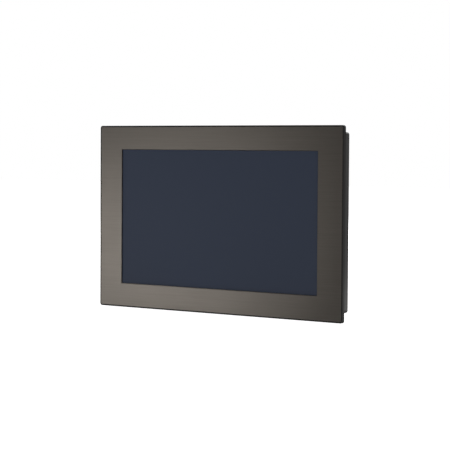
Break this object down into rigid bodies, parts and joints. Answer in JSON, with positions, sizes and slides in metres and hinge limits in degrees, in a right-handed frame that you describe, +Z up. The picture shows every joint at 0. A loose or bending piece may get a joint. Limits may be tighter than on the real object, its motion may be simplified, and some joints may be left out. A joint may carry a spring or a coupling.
{
  "type": "hmi touch panel",
  "caption": "Flat widescreen industrial touch panel computer for a cabinet door: brushed fascia, dark screen, shallow steel housing and electronics cover behind.",
  "frame": {"origin": "centre of the bezel's outline on the sealing plane, where the gasket meets the cabinet door", "axes": "+X to the right seen from the front, +Y back into the cabinet (the screen faces -Y), +Z up"},
  "size_m": [0.43, 0.0643, 0.266],
  "materials": {
    "bezel_coat": "satin black powder coat on a cast frame",
    "fascia_brushed": "brushed and bronze-grey anodised",
    "seal_foam": "closed-cell foam",
    "adhesive_tape": "double-sided foam tape",
    "touch_glass": "anti-glare touch glass over a dark display",
    "display_glass": "polarised display glass",
    "display_film": "translucent film and acrylic",
    "flex_film": "polyimide film",
    "circuit_board": "solder mask on glass-fibre board",
    "zinc_steel": "zinc plated sheet steel",
    "screw_steel": "zinc plated screws",
    "tray_aluminium": "mill finish",
    "housing_coat": "fine textured dark grey powder coat",
    "sink_black": "black anodised",
    "pad_grey": "soft thermal pad",
    "moulded_black": "moulded black plastic",
    "moulded_white": "moulded white plastic",
    "package_black": "chips and capacitors",
    "processor_lid": "nickel plated lid",
    "cable_sleeve": "PVC sleeve",
    "insert_brass": "turned brass",
    "plug_green": "moulded green plastic",
    "rocker_black": "polished black plastic",
    "button_grey": "moulded grey plastic",
    "card_black": "moulded card shell",
    "battery_steel": "stainless can"
  },
  "bodies": {
    "chassis": {"backlight_cable": "cable_sleeve", "battery": "battery_steel", "battery_holder": "moulded_black", "bezel_frame": "bezel_coat", "bezel_pillars": "screw_steel", "board_components": "package_black", "board_screws": "screw_steel", "board_standoffs": "screw_steel", "bracket_screws": "screw_steel", "card_socket": "zinc_steel", "earth_nut": "screw_steel", "earth_stud": "screw_steel", "fascia_adhesive": "adhesive_tape", "fascia_plate": "fascia_brushed", "flap_bracket": "housing_coat", "flap_pin": "screw_steel", "heat_sink": "sink_black", "heat_sink_screws": "screw_steel", "housing_screws": "screw_steel", "io_plate": "zinc_steel", "lan_ports": "zinc_steel", "lcd_back_tray": "tray_aluminium", "lcd_brackets": "zinc_steel", "lcd_cell": "display_glass", "lcd_dust_seal": "seal_foam", "lcd_front_frame": "zinc_steel", "lcd_mid_frame": "moulded_white", "led_strip": "moulded_white", "light_guide": "display_film", "lvds_cable": "cable_sleeve", "main_board": "circuit_board", "memory_module": "circuit_board", "memory_socket": "moulded_black", "optical_films": "display_film", "panel_gasket": "seal_foam", "power_header": "plug_green", "power_switch_body": "moulded_black", "processor": "processor_lid", "rear_cover": "housing_coat", "rear_cover_screws": "screw_steel", "rear_housing": "housing_coat", "reset_switch": "moulded_black", "serial_jackscrews": "insert_brass", "serial_port": "zinc_steel", "tcon_board": "circuit_board", "thermal_pad": "pad_grey", "touch_board": "circuit_board", "touch_cable": "cable_sleeve", "touch_panel": "touch_glass", "touch_seal": "adhesive_tape", "touch_tail": "flex_film", "usb_ports": "zinc_steel", "vesa_inserts": "insert_brass"},
    "flap": {"service_flap": "housing_coat", "flap_screw": "screw_steel"},
    "rocker": {"power_rocker": "rocker_black"},
    "reset": {"reset_button": "button_grey"},
    "card": {"memory_card": "card_black"},
    "plug": {"power_plug": "plug_green", "plug_screws": "screw_steel"}
  },
  "joints": [
    {"name": "flap_hinge", "type": "hinge", "parent": "chassis", "child": "flap", "pos_m": [-0.104, 0.055, 0.0135], "axis": [1, 0, 0], "range_deg": [0, 110]},
    {"name": "rocker_tilt", "type": "hinge", "parent": "chassis", "child": "rocker", "pos_m": [-0.076, 0.0394, -0.084], "axis": [0, -1, 0], "range_deg": [0, 24]},
    {"name": "reset_press", "type": "slide", "parent": "chassis", "child": "reset", "axis": [0, 0, 1], "range_m": [0, 0.0008], "stiffness_N_per_m": 600, "springref_m": -0.0005},
    {"name": "card_slide", "type": "slide", "parent": "chassis", "child": "card", "axis": [0, 0, -1], "range_m": [0, 0.026]},
    {"name": "plug_slide", "type": "slide", "parent": "chassis", "child": "plug", "axis": [0, 0, -1], "range_m": [0, 0.015]}
  ]
}
